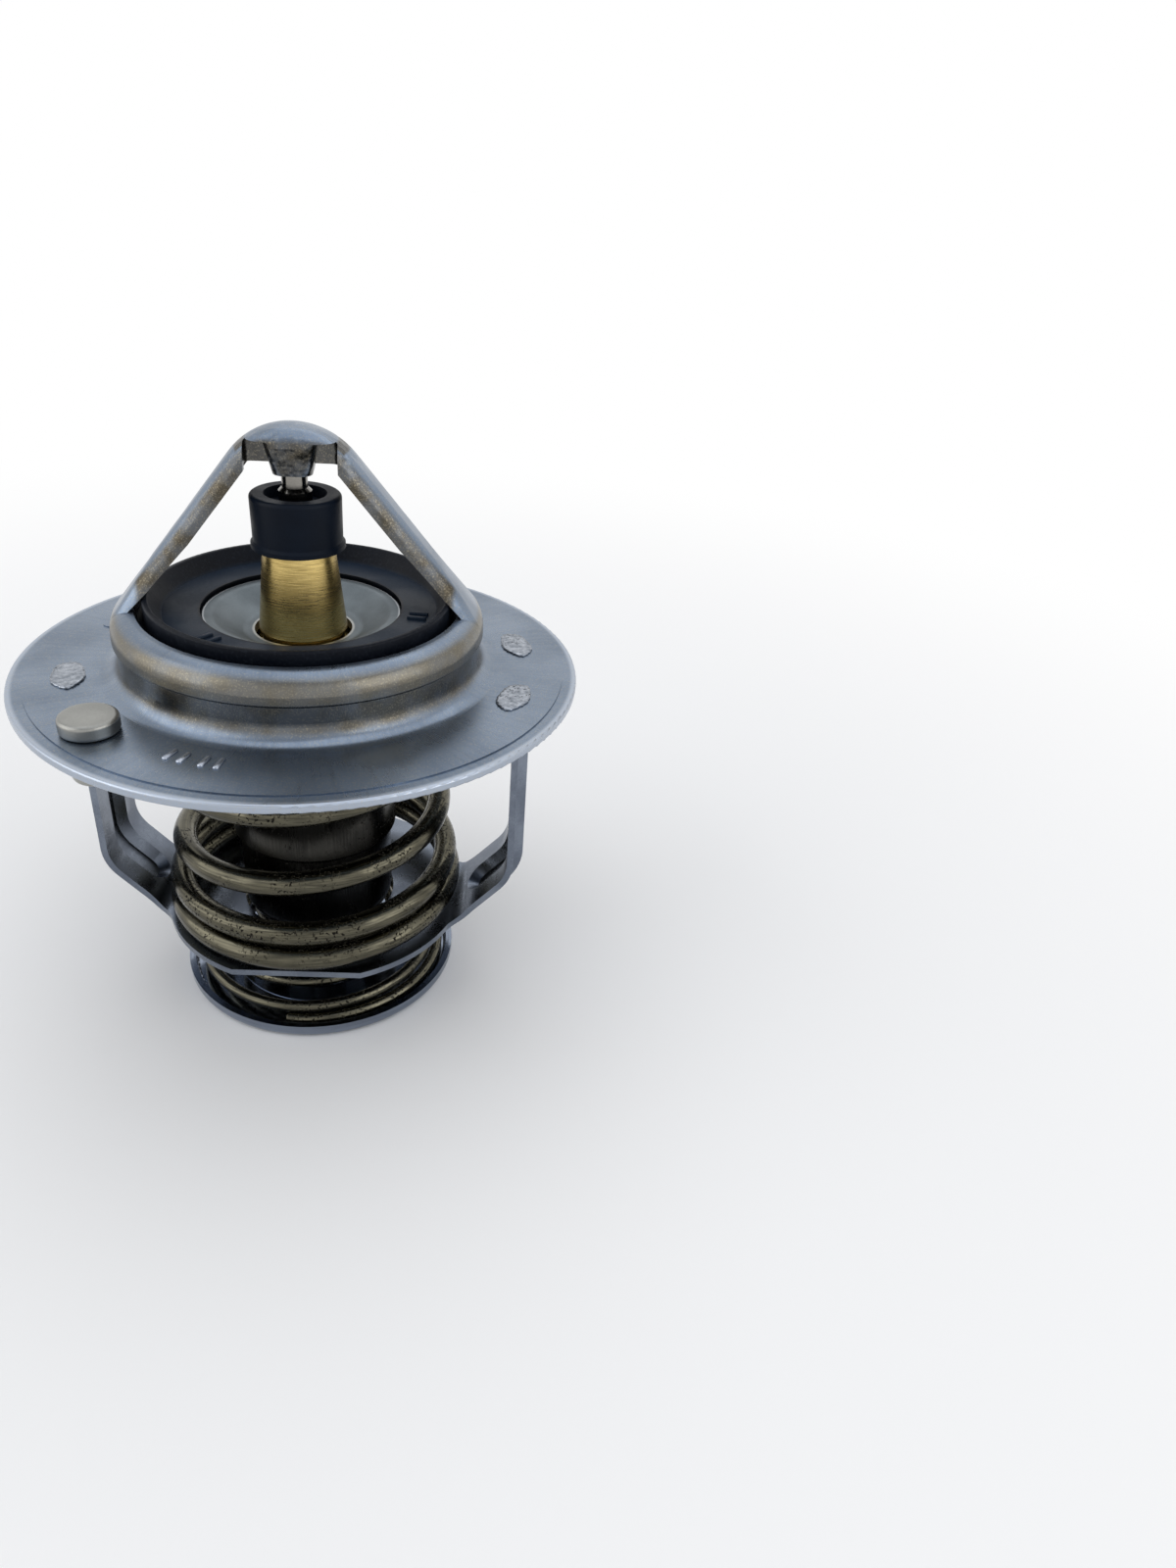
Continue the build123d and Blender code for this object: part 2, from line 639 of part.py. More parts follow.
with BuildPart() as wax_cup:
    with BuildSketch(Plane.XZ) as cup_section:
        Polygon(
            (0, cup_bottom),
            (cup_lower_r, cup_bottom),
            (cup_lower_r, cup_step),
            (cup_r, cup_step + cup_step_rise),
            (cup_r, collar_low),
            (cup_collar_r, collar_low),
            (cup_collar_r, plate_under),
            (cup_r - crimp_edge, plate_under),
            (guide_flange_r - crimp_in, plate_under - crimp_drop),
            (guide_flange_r - crimp_in, guide_flange_top),
            (guide_flange_r, guide_flange_top),
            (guide_flange_r, guide_flange_low),
            (cup_r - cup_wall, guide_flange_low),
            (cup_r - cup_wall, cup_step + cup_step_rise),
            (cup_lower_r - cup_wall, cup_step),
            (cup_lower_r - cup_wall, cup_floor),
            (0, cup_floor),
            align=None,
        )
        bottom_out = cup_section.vertices().sort_by_distance(Vector(cup_lower_r, cup_bottom))[0]
        fillet(bottom_out, radius=cup_round)
        inner_corner = Vector(cup_lower_r - cup_wall, cup_floor)
        bottom_in = cup_section.vertices().sort_by_distance(inner_corner)[0]
        fillet(bottom_in, radius=cup_inner_round)
    revolve(axis=Axis.Z)
wax_cup.part.label = "wax_cup"
export_step(wax_cup.part, "parts/wax_cup.step")

with BuildPart() as wax_charge:
    with BuildSketch(Plane.XZ) as wax_section:
        Polygon(
            (0, cup_floor),
            (cup_lower_r - cup_wall, cup_floor),
            (cup_lower_r - cup_wall, cup_step),
            (cup_r - cup_wall, cup_step + cup_step_rise),
            (cup_r - cup_wall, sleeve_top - sleeve_flange),
            (sleeve_r, sleeve_top - sleeve_flange),
            (sleeve_r, sleeve_tip),
            (0, sleeve_tip),
            align=None,
        )
        wax_corner = wax_section.vertices().sort_by_distance(inner_corner)[0]
        fillet(wax_corner, radius=cup_inner_round)
        wax_tip = wax_section.vertices().sort_by_distance(Vector(sleeve_r, sleeve_tip))[0]
        fillet(wax_tip, radius=sleeve_round)
    revolve(axis=Axis.Z)
wax_charge.part.label = "wax_charge"
export_step(wax_charge.part, "parts/wax_charge.step")

# ------------------------------------------------------------- main valve
with BuildPart() as valve_plate:
    with BuildSketch(Plane.XZ) as plate_section:
        with BuildLine() as plate_line:
            dish_low = plate_rim_top + plate_land - plate_dish
            land = plate_rim_top + plate_land
            Polyline(
                (plate_hole_r, dish_low),
                (plate_hole_r + 1.1, dish_low),
                (plate_dish_r - 0.4, land),
                (plate_land_r, land),
                (plate_land_r + plate_land, plate_rim_top),
                (plate_r, plate_rim_top),
                (plate_r, plate_under),
                (plate_land_r, plate_under),
                (plate_land_r - 0.3, land - plate_sheet),
                (plate_dish_r, land - plate_sheet),
                (plate_hole_r + 1.6, dish_low - plate_sheet),
                (plate_hole_r, dish_low - plate_sheet),
                (plate_hole_r, dish_low),
            )
        make_face()
        bends = [
            v for v in plate_section.vertices()
            if plate_hole_r + 0.5 < v.X < plate_dish_r + 0.1
        ]
        fillet(bends, radius=1.0)
    revolve(axis=Axis.Z)
valve_plate.part.label = "valve_plate"
export_step(valve_plate.part, "parts/valve_plate.step")

seal_flat = flange_top + seal_rise
seal_lip = flange_top + seal_lip_rise
seal_top = seat_under - valve_gap
seal_low = plate_under - seal_wrap
with BuildPart() as valve_seal:
    with BuildSketch(Plane.XZ) as seal_section:
        Polygon(
            (plate_land_r + plate_land, plate_rim_top),
            (plate_land_r + plate_land - 0.3, seal_flat),
            (seal_flat_r, seal_flat),
            (seal_lip_r - 0.6, seal_lip),
            (seal_lip_r, seal_lip),
            (seal_lip_r, seal_top - 0.3),
            (seal_lip_r + 0.6, seal_top),
            (seal_r, seal_top),
            (seal_r, seal_low),
            (plate_r, seal_low),
            (plate_r, plate_rim_top),
            align=None,
        )
        rim = [v for v in seal_section.vertices() if v.X > seal_r - 0.01]
        fillet(rim, radius=0.35)
        lip = [v for v in seal_section.vertices() if v.Y > seal_lip - 0.01]
        fillet(lip, radius=0.22)
    revolve(axis=Axis.Z)
valve_seal.part.label = "valve_seal"
export_step(valve_seal.part, "parts/valve_seal.step")

with BuildPart() as spring_retainer:
    with BuildSketch(Plane.XZ) as retainer_section:
        inner = cup_r + retainer_gap
        joggle = cup_collar_r + 0.3
        Polygon(
            (inner, collar_low),
            (joggle, collar_low),
            (joggle + 0.9, plate_under),
            (retainer_r, plate_under),
            (retainer_r, plate_under - retainer_rim),
            (retainer_r - retainer_sheet, plate_under - retainer_rim),
            (retainer_r - retainer_sheet, retainer_under),
            (joggle + 1.3, retainer_under),
            (joggle + 0.4, collar_low - retainer_sheet),
            (inner, collar_low - retainer_sheet),
            align=None,
        )
    revolve(axis=Axis.Z)
spring_retainer.part.label = "spring_retainer"
export_step(spring_retainer.part, "parts/spring_retainer.step")

# ------------------------------------------------------------- main spring
main_low = seat_height + main_wire / 2
main_high = retainer_under - spring_gap - main_wire / 2
main_heights = [(turn, main_low + main_wire * rise) for turn, rise in main_rises]
main_heights += [(main_turns - main_end_turns, main_high), (main_turns, main_high)]
main_radii = [
    (0, main_bottom_r),
    (main_closed_turns, main_bottom_r - main_low_taper),
    (main_closed_turns + 1, main_middle_r),
    (main_turns - main_end_turns - 0.5, main_top_r + main_top_taper),
    (main_turns, main_top_r),
]
with BuildPart() as main_spring:
    with BuildLine() as main_wire_line:
        Spline(*coil(main_radii, main_heights, main_turns, main_start))
    with BuildSketch(Plane(origin=main_wire_line.line @ 0, z_dir=main_wire_line.line % 0)):
        Circle(main_wire / 2)
    sweep(path=main_wire_line.line)
main_spring.part.label = "main_spring"
export_step(main_spring.part, "parts/main_spring.step")

# ------------------------------------------------------------- bypass valve
with BuildPart() as bypass_stem:
    with BuildSketch(Plane.XZ):
        groove_top = bypass_hub
        groove_low = bypass_hub - clip_sheet
        Polygon(
            (0, stem_end),
            (stem_r - 0.4, stem_end),
            (stem_r, stem_end + 0.3),
            (stem_r, groove_low),
            (stem_r - groove_depth, groove_low),
            (stem_r - groove_depth, groove_top),
            (stem_r, groove_top),
            (stem_r, cup_bottom - stem_head),
            (stem_head_r, cup_bottom - stem_head),
            (stem_head_r, cup_bottom),
            (0, cup_bottom),
            align=None,
        )
    revolve(axis=Axis.Z)
bypass_stem.part.label = "bypass_stem"
export_step(bypass_stem.part, "parts/bypass_stem.step")

with BuildPart() as stem_clip:
    with BuildSketch(Plane.XY.offset(bypass_hub - clip_sheet)):
        Circle(clip_r)
        Circle(stem_r - groove_depth, mode=Mode.SUBTRACT)
        with Locations((clip_r, 0)):
            Rectangle(2 * clip_r, 2 * (stem_r - 1.0), mode=Mode.SUBTRACT)
        for turn in (60, -60, 180):
            with PolarLocations(clip_r, 1, start_angle=turn):
                Circle(clip_notch_r, mode=Mode.SUBTRACT)
    extrude(amount=clip_sheet)
stem_clip.part.label = "stem_clip"
export_step(stem_clip.part, "parts/stem_clip.step")

valve_bore_r = stem_r + running_gap
with BuildPart() as bypass_valve:
    with BuildSketch(Plane.XZ) as valve_section:
        with BuildLine():
            Polyline(
                (valve_bore_r, bypass_hub),
                (bypass_hub_r, bypass_hub),
                (bypass_hub_r + bypass_slope, 0),
                (bypass_r, 0),
                (bypass_r, bypass_rim),
                (bypass_r - bypass_sheet, bypass_rim),
                (bypass_r - bypass_sheet, bypass_sheet),
                (bypass_hub_r + bypass_slope + 0.5, bypass_sheet),
                (bypass_hub_r + 0.5, hub_top),
                (bypass_collar_r, hub_top),
                (bypass_collar_r, hub_top + bypass_collar - bypass_sheet),
                (valve_bore_r, hub_top + bypass_collar - bypass_sheet),
                (valve_bore_r, bypass_hub),
            )
        make_face()
        rim_out = valve_section.vertices().sort_by_distance(Vector(bypass_r, 0))[0]
        fillet(rim_out, radius=1.1)
        rim_floor = Vector(bypass_r - bypass_sheet, bypass_sheet)
        rim_in = valve_section.vertices().sort_by_distance(rim_floor)[0]
        fillet(rim_in, radius=0.4)
    revolve(axis=Axis.Z)
    # turned rings in the floor of the valve
    with BuildSketch(Plane.XY.offset(bypass_sheet - bypass_ring_depth)):
        for ring_r in bypass_rings:
            Circle(ring_r + bypass_ring_half)
            Circle(ring_r - bypass_ring_half, mode=Mode.SUBTRACT)
    extrude(amount=1, mode=Mode.SUBTRACT)
bypass_valve.part.label = "bypass_valve"
export_step(bypass_valve.part, "parts/bypass_valve.step")

bypass_low = bypass_sheet + bypass_wire / 2 + spring_gap / 2
bypass_high = cup_bottom - bypass_wire / 2
bypass_heights = [
    (0, bypass_low),
    (1.0, bypass_low + bypass_wire * bypass_nest),
    (bypass_turns - bypass_end_turns, bypass_high),
    (bypass_turns, bypass_high),
]
bypass_radii = [
    (0, bypass_bottom_r),
    (1.0, bypass_bottom_r - bypass_nest_in),
    (bypass_turns - bypass_end_turns, bypass_top_r + 0.5),
    (bypass_turns, bypass_top_r),
]
with BuildPart() as bypass_spring:
    with BuildLine() as bypass_wire_line:
        Spline(*coil(bypass_radii, bypass_heights, bypass_turns, bypass_start))
    with BuildSketch(Plane(origin=bypass_wire_line.line @ 0, z_dir=bypass_wire_line.line % 0)):
        Circle(bypass_wire / 2)
    sweep(path=bypass_wire_line.line)
bypass_spring.part.label = "bypass_spring"
export_step(bypass_spring.part, "parts/bypass_spring.step")

# ------------------------------------------------------------- jiggle pin
jiggle_x = jiggle_at_r * cos(radians(jiggle_turn))
jiggle_y = jiggle_at_r * sin(radians(jiggle_turn))
weight_top = flange_under - jiggle_lift
with BuildPart() as jiggle_pin:
    with BuildSketch(Plane.XY.offset(flange_top)):
        with Locations((jiggle_x, jiggle_y)):
            Circle(jiggle_head_r)
    extrude(amount=jiggle_head)
    fillet(jiggle_pin.edges().filter_by(GeomType.CIRCLE), radius=0.45)
    with BuildSketch(Plane.XY.offset(weight_top - jiggle_weight)):
        with Locations((jiggle_x, jiggle_y)):
            Circle(jiggle_shank_r)
    extrude(amount=jiggle_weight + jiggle_lift + upper_sheet + jiggle_seat)
jiggle_pin.part.label = "jiggle_pin"
export_step(jiggle_pin.part, "parts/jiggle_pin.step")

with BuildPart() as jiggle_weight_part:
    with BuildSketch(Plane.XY.offset(weight_top - jiggle_weight)):
        with Locations((jiggle_x, jiggle_y)):
            Circle(jiggle_weight_r)
    extrude(amount=jiggle_weight)
    fillet(jiggle_weight_part.edges().filter_by(GeomType.CIRCLE), radius=0.7)
    with BuildSketch(Plane.XY.offset(weight_top - jiggle_weight - 1)):
        with Locations((jiggle_x, jiggle_y)):
            Circle(jiggle_shank_r)
    extrude(amount=jiggle_weight + 2, mode=Mode.SUBTRACT)
jiggle_weight_part.part.label = "jiggle_weight"
export_step(jiggle_weight_part.part, "parts/jiggle_weight.step")
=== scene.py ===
"""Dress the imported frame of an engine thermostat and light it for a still.

The frame gives every rigid piece in its place. This script gives each one its finish, makes
the springs, the weld marks and the small moulded and stamped marks, and sets up the studio.
"""

import functools
import logging
import math
from dataclasses import dataclass, field
from enum import Enum
from typing import Iterable, Sequence

import bmesh
import bpy
from mathutils import Matrix, Vector

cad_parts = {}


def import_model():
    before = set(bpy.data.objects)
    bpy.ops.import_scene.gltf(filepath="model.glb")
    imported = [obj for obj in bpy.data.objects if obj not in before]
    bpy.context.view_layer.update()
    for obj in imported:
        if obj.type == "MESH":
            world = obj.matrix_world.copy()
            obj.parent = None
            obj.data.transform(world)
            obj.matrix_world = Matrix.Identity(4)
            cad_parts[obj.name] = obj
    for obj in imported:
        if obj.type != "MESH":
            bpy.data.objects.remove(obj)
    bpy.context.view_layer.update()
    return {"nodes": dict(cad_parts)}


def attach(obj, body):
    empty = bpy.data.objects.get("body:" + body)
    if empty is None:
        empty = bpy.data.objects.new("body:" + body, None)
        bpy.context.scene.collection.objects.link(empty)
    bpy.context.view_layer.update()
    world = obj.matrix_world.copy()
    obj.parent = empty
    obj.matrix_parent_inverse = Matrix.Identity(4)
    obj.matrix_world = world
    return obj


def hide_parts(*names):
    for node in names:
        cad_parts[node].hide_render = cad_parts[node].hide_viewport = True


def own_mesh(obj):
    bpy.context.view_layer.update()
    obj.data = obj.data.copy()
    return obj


MM = 0.001
PER_METRE = 1000.0
NEVER_ZERO = 0.001
MERGE_GAP = 1e-6
# A range of a zone that starts below zero and ends past this has no limits.
OPEN_END = 90.0
# Askew, so that no two corners of a weld mark lie equally far along it.
ORDER_AXIS = Vector((1.0, 1.6180, 2.7183))
Colour = tuple[float, float, float]

log = logging.getLogger("thermostat")


# ---------------------------------------------------------------- finishes
class Grain(Enum):
    """Which way the fine lines of a finish run."""

    MOULDED = "moulded"
    TURNED = "turned"
    RADIAL = "radial"


@dataclass(frozen=True)
class Zone:
    """A ring-shaped or outer part of a piece, measured in millimetres, with a colour laid on it:
    painted shade, highlight and reflection on some finishes.
    """

    colour: Colour
    strength: float
    r: tuple[float, float] = (-1.0, 99.0)
    z: tuple[float, float] = (-9.0, 99.0)
    side: tuple[float, float] = (-9.0, 99.0)
    soft: float = 0.5
    patchy: float = 0.0


class Graph:
    """Wires the nodes of one material or of the room."""

    def __init__(
        self, owner: bpy.types.Material | bpy.types.World, output: str = "ShaderNodeOutputMaterial"
    ) -> None:
        """Clear the owner's nodes and give it an output.

        Args:
            owner: Material or world that the nodes belong to.
            output: Blender's name for the output node.
        """
        owner.use_nodes = True
        self.tree = owner.node_tree
        self.tree.nodes.clear()
        self.output = self.add(output)

    def add(self, kind: str, **settings: object) -> bpy.types.Node:
        """Add a node and set its own options.

        Args:
            kind: Blender's name for the type of node.
            settings: Attributes of the node.

        Returns:
            The new node.
        """
        node = self.tree.nodes.new(kind)
        for key, value in settings.items():
            setattr(node, key, value)
        return node

    def feed(self, socket: bpy.types.NodeSocket, value: object) -> None:
        """Link a socket's value, or set it where it is a plain number or colour.

        Args:
            socket: Socket that takes the value.
            value: Another node's output, a number, or a sequence of numbers.
        """
        if isinstance(value, bpy.types.NodeSocket):
            self.tree.links.new(value, socket)
        else:
            socket.default_value = value

    def math(self, operation: str, *values: object, clamp: bool = False) -> bpy.types.NodeSocket:
        """Work out a number.

        Args:
            operation: Blender's name for the operation.
            values: Numbers or outputs.
            clamp: Whether the result is kept between 0 and 1.

        Returns:
            The result's socket.
        """
        node = self.add("ShaderNodeMath", operation=operation, use_clamp=clamp)
        for socket, value in zip(node.inputs, values):
            self.feed(socket, value)
        return node.outputs[0]

    def shown(self) -> bpy.types.NodeSocket:
        """Find the rays that show a background: from the camera, off a gloss or through glass."""
        path = self.add("ShaderNodeLightPath")
        first = self.math("MAXIMUM", path.outputs["Is Camera Ray"], path.outputs["Is Glossy Ray"])
        return self.math("MAXIMUM", first, path.outputs["Is Transmission Ray"])

    def swap(self, factor: object, first: object, second: object) -> None:
        """Send a mix of two shaders to the output."""
        node = self.add("ShaderNodeMixShader")
        for socket, value in zip(node.inputs, (factor, first, second)):
            self.feed(socket, value)
        self.feed(self.output.inputs["Surface"], node.outputs[0])

    def polar(self) -> dict[str, bpy.types.NodeSocket]:
        """Measure a point of the piece from the axis of the thermostat.

        Returns:
            The point itself in metres, called place, and in millimetres its radius r, its
            height z and its distance from the bridge's middle plane, called side. The
            direction's two parts, cos and sin, have no unit.
        """
        place = self.add("ShaderNodeTexCoord").outputs["Object"]
        split = self.add("ShaderNodeSeparateXYZ")
        self.feed(split.inputs[0], place)
        x = self.math("MULTIPLY", split.outputs[0], PER_METRE)
        y = self.math("MULTIPLY", split.outputs[1], PER_METRE)
        squares = self.math("ADD", self.math("MULTIPLY", x, x), self.math("MULTIPLY", y, y))
        r = self.math("MAXIMUM", self.math("SQRT", squares), NEVER_ZERO)
        return {
            "place": place,
            "r": r,
            "z": self.math("MULTIPLY", split.outputs[2], PER_METRE),
            "side": self.math("ABSOLUTE", y),
            "cos": self.math("DIVIDE", x, r),
            "sin": self.math("DIVIDE", y, r),
        }

    def vector(self, x: object, y: object, z: object) -> bpy.types.NodeSocket:
        """Join three numbers into a vector."""
        node = self.add("ShaderNodeCombineXYZ")
        for socket, value in zip(node.inputs, (x, y, z)):
            self.feed(socket, value)
        return node.outputs[0]

    def noise(self, vector: object, scale: float, detail: float = 3.0) -> bpy.types.NodeSocket:
        """Read a noise texture.

        Args:
            vector: Where it is read.
            scale: Its scale.
            detail: Its detail.

        Returns:
            Its value, round 0.5.
        """
        node = self.add("ShaderNodeTexNoise")
        self.feed(node.inputs["Vector"], vector)
        node.inputs["Scale"].default_value = scale
        node.inputs["Detail"].default_value = detail
        return node.outputs["Fac"]

    def speckle(
        self, polar: dict[str, bpy.types.NodeSocket], size_mm: float, detail: float = 3.0
    ) -> bpy.types.NodeSocket:
        """Read a noise texture whose blobs are about as large as a size in millimetres."""
        return self.noise(polar["place"], PER_METRE / size_mm, detail)

    def spread(
        self, value: object, low: float, high: float, to_low: float = 0.0, to_high: float = 1.0
    ) -> bpy.types.NodeSocket:
        """Map one range smoothly on to another."""
        node = self.add("ShaderNodeMapRange", interpolation_type="SMOOTHSTEP")
        for socket, number in zip(node.inputs, (value, low, high, to_low, to_high)):
            self.feed(socket, number)
        return node.outputs[0]

    def mix(self, factor: object, first: object, second: object) -> bpy.types.NodeSocket:
        """Mix two colours."""
        node = self.add("ShaderNodeMix", data_type="RGBA")
        self.feed(node.inputs["Factor"], factor)
        colours = [s for s in node.inputs if s.type == "RGBA"]
        for socket, value in zip(colours, (first, second)):
            self.feed(socket, (*value, 1.0) if isinstance(value, tuple) else value)
        return next(s for s in node.outputs if s.type == "RGBA")

    def bump(self, height: object, depth: float, under: object = None) -> bpy.types.NodeSocket:
        """Turn a height into a normal.

        Args:
            height: Value between 0 and 1.
            depth: Depth of the relief in millimetres.
            under: A normal that this one lies on.

        Returns:
            The normal's socket.
        """
        node = self.add("ShaderNodeBump")
        node.inputs["Strength"].default_value = 1.0
        node.inputs["Distance"].default_value = depth * MM
        self.feed(node.inputs["Height"], height)
        if under is not None:
            self.feed(node.inputs["Normal"], under)
        return node.outputs[0]


TONE_BAND = (0.3, 0.7)
RADIAL_LINES = 12.0
# Patches that break up a zone's colour, which on some zones is painted shade, highlight and
# reflection.
ZONE_PATCH_MM = 3.0
ZONE_PATCH_BAND = (0.35, 0.65)
GRIT_BAND = (0.5, 0.72)
GRIT_DEPTH = 0.008
PITTED_AREA_MM = 5.0
PITTED_AREA_BAND = (0.4, 0.62)
PIT_BAND = (0.74, 0.78)
PIT_REACH = 0.2
PIT_DEPTH = 0.03
PIT_ROUGHNESS = 0.3


@dataclass(frozen=True)
class Finish:
    """One finish of the thermostat: its colour, its lines, its pits, its flecks and its zones,
    some of which are painted shade, highlights and reflections.
    """

    name: str
    colour: Colour
    shade: Colour
    metallic: float = 1.0
    roughness: float = 0.3
    spread: float = 0.1
    patch_mm: float = 6.0
    grain: Grain = Grain.MOULDED
    line_mm: float = 0.12
    run: float = 6.0
    line_depth: float = 0.002
    line_tone: float = 0.2
    pits: float = 0.0
    pit_mm: float = 0.5
    pit_colour: Colour = (0.01, 0.009, 0.008)
    gloss: float = 0.5
    grit: float = 0.0
    grit_mm: float = 0.16
    grit_colour: Colour = (0.45, 0.40, 0.29)
    crush: Zone | None = None
    crush_mm: float = 1.7
    crush_depth: float = 0.24
    zones: tuple[Zone, ...] = field(default_factory=tuple)

    def lines(self, graph: Graph, polar: dict[str, bpy.types.NodeSocket]) -> bpy.types.NodeSocket:
        """Draw the fine lines of the finish.

        Args:
            graph: The material's graph.
            polar: Place measured from the axis.

        Returns:
            A value between 0 and 1.
        """
        per_mm = 1.0 / self.line_mm
        if self.grain is Grain.TURNED:
            along_r = graph.math("MULTIPLY", polar["r"], per_mm)
            along_z = graph.math("MULTIPLY", polar["z"], per_mm)
            drift_x = graph.math("MULTIPLY", polar["cos"], self.run)
            drift_y = graph.math("MULTIPLY", polar["sin"], self.run)
            place = graph.vector(
                graph.math("ADD", along_r, drift_x), graph.math("ADD", along_z, drift_y), 0.0
            )
            return graph.noise(place, 1.0)
        if self.grain is Grain.RADIAL:
            turn = RADIAL_LINES * per_mm
            place = graph.vector(
                graph.math("MULTIPLY", polar["cos"], turn),
                graph.math("MULTIPLY", polar["sin"], turn),
                graph.math("DIVIDE", graph.math("ADD", polar["r"], polar["z"]), self.run),
            )
            return graph.noise(place, 1.0)
        return graph.speckle(polar, self.line_mm)

    def zone(
        self, graph: Graph, polar: dict[str, bpy.types.NodeSocket], zone: Zone
    ) -> bpy.types.NodeSocket:
        """Find how much a zone covers a point, between 0 and 1."""
        cover = zone.strength
        for name, (low, high) in (("r", zone.r), ("z", zone.z), ("side", zone.side)):
            if low < 0.0 and high > OPEN_END:
                continue
            inside = graph.spread(polar[name], low - zone.soft, low + zone.soft)
            outside = graph.spread(polar[name], high - zone.soft, high + zone.soft, 1.0, 0.0)
            cover = graph.math("MULTIPLY", cover, graph.math("MULTIPLY", inside, outside))
        if zone.patchy:
            patch = graph.speckle(polar, ZONE_PATCH_MM, 4.0)
            keep = graph.spread(patch, *ZONE_PATCH_BAND, 1.0 - zone.patchy, 1.0)
            cover = graph.math("MULTIPLY", cover, keep)
        return cover

    def crumple(
        self, graph: Graph, polar: dict[str, bpy.types.NodeSocket], normal: bpy.types.NodeSocket
    ) -> bpy.types.NodeSocket:
        """Lay folds on the normal inside the crushed zone."""
        folds = graph.speckle(polar, self.crush_mm, 2.0)
        folds = graph.math("MULTIPLY", folds, self.zone(graph, polar, self.crush))
        return graph.bump(folds, self.crush_depth, normal)

    def roughen(
        self, graph: Graph, polar: dict[str, bpy.types.NodeSocket], colour: bpy.types.NodeSocket,
        normal: bpy.types.NodeSocket,
    ) -> tuple[bpy.types.NodeSocket, bpy.types.NodeSocket]:
        """Add fine flecks, and give the new colour and normal."""
        fine = graph.speckle(polar, self.grit_mm, 2.0)
        fleck = graph.spread(fine, *GRIT_BAND, 0.0, self.grit)
        colour = graph.mix(fleck, colour, self.grit_colour)
        return colour, graph.bump(fine, GRIT_DEPTH * self.grit, normal)

    def pitting(
        self, graph: Graph, polar: dict[str, bpy.types.NodeSocket]
    ) -> bpy.types.NodeSocket:
        """Find where the pits are, as a value between 0 and 1."""
        grit = graph.speckle(polar, self.pit_mm, 2.0)
        where = graph.spread(graph.speckle(polar, PITTED_AREA_MM, 1.0), *PITTED_AREA_BAND)
        low, high = (edge - PIT_REACH * self.pits for edge in PIT_BAND)
        return graph.math("MULTIPLY", graph.spread(grit, low, high), where)

    @functools.cache
    def material(self) -> bpy.types.Material:
        """Build the material of this finish, once.

        Returns:
            The material.
        """
        material = bpy.data.materials.new(self.name)
        graph = Graph(material)
        polar = graph.polar()
        patches = graph.spread(graph.speckle(polar, self.patch_mm, 4.0), *TONE_BAND)
        lines = self.lines(graph, polar)
        tone = graph.math(
            "ADD", graph.math("MULTIPLY", patches, 1.0 - self.line_tone),
            graph.math("MULTIPLY", graph.spread(lines, *TONE_BAND), self.line_tone),
        )
        colour = graph.mix(tone, self.colour, self.shade)
        for zone in self.zones:
            colour = graph.mix(self.zone(graph, polar, zone), colour, zone.colour)
        smoothest, roughest = self.roughness - self.spread, self.roughness + self.spread
        rough = graph.spread(tone, 0.0, 1.0, smoothest, roughest)
        normal = graph.bump(lines, self.line_depth)
        if self.crush:
            normal = self.crumple(graph, polar, normal)
        if self.grit:
            colour, normal = self.roughen(graph, polar, colour, normal)
        if self.pits:
            pit = self.pitting(graph, polar)
            colour = graph.mix(pit, colour, self.pit_colour)
            dull = graph.math("MULTIPLY", pit, PIT_ROUGHNESS)
            rough = graph.math("ADD", rough, dull, clamp=True)
            normal = graph.bump(graph.math("SUBTRACT", 1.0, pit), PIT_DEPTH, normal)
        shader = graph.add("ShaderNodeBsdfPrincipled")
        graph.feed(shader.inputs["Base Color"], colour)
        graph.feed(shader.inputs["Roughness"], rough)
        graph.feed(shader.inputs["Normal"], normal)
        shader.inputs["Metallic"].default_value = self.metallic
        shader.inputs["Specular IOR Level"].default_value = self.gloss
        graph.feed(graph.output.inputs["Surface"], shader.outputs[0])
        return material


FLANGE_TOP = 43.9

FRAME_STEEL = Finish(
    "pressed_steel", (0.22, 0.27, 0.345), (0.145, 0.185, 0.245), roughness=0.3, spread=0.06,
    patch_mm=9.0, grain=Grain.RADIAL, line_mm=0.22, run=14.0, line_depth=0.0007, line_tone=0.25,
    zones=(
        # Dome wall, band above the step: the wall's own warm tint with a painted reflection, a
        # lighter golden brown of the room mirrored in it.
        Zone((0.15, 0.124, 0.075), 0.8, r=(19.0, 21.4), z=(48.2, 50.9), soft=0.4, patchy=0.2),
        # Dome wall below the step: the wall's own warm tint with painted reflection and shade, a
        # darker brown.
        Zone((0.088, 0.073, 0.046), 0.85, r=(19.0, 21.4), z=(44.9, 48.2), soft=0.5, patchy=0.25),
        Zone((0.07, 0.057, 0.036), 0.95, r=(-1.0, 17.5), z=(52.0, 70.0), side=(2.45, 99.0),
             soft=0.35, patchy=0.3),
        # Crimp dents round the pocket: painted shade, darker brown in the recesses.
        Zone((0.07, 0.061, 0.046), 0.85, r=(-1.0, 6.0), z=(64.0, 69.65), side=(-9.0, 2.3),
             soft=0.12),
        # Rolled rim of the flange: painted highlight, a pale band along the edge.
        Zone((0.45, 0.50, 0.58), 0.8, r=(31.4, 33.0), soft=0.25),
    ),
    grit=0.3, crush=Zone((0.0, 0.0, 0.0), 1.0, r=(-1.0, 7.5), z=(64.0, 75.0), soft=1.0),
)
LEG_STEEL = Finish(
    "bent_strip", (0.22, 0.25, 0.30), (0.135, 0.155, 0.195), roughness=0.27, spread=0.07,
    patch_mm=5.0, line_mm=0.3, line_depth=0.001,
)
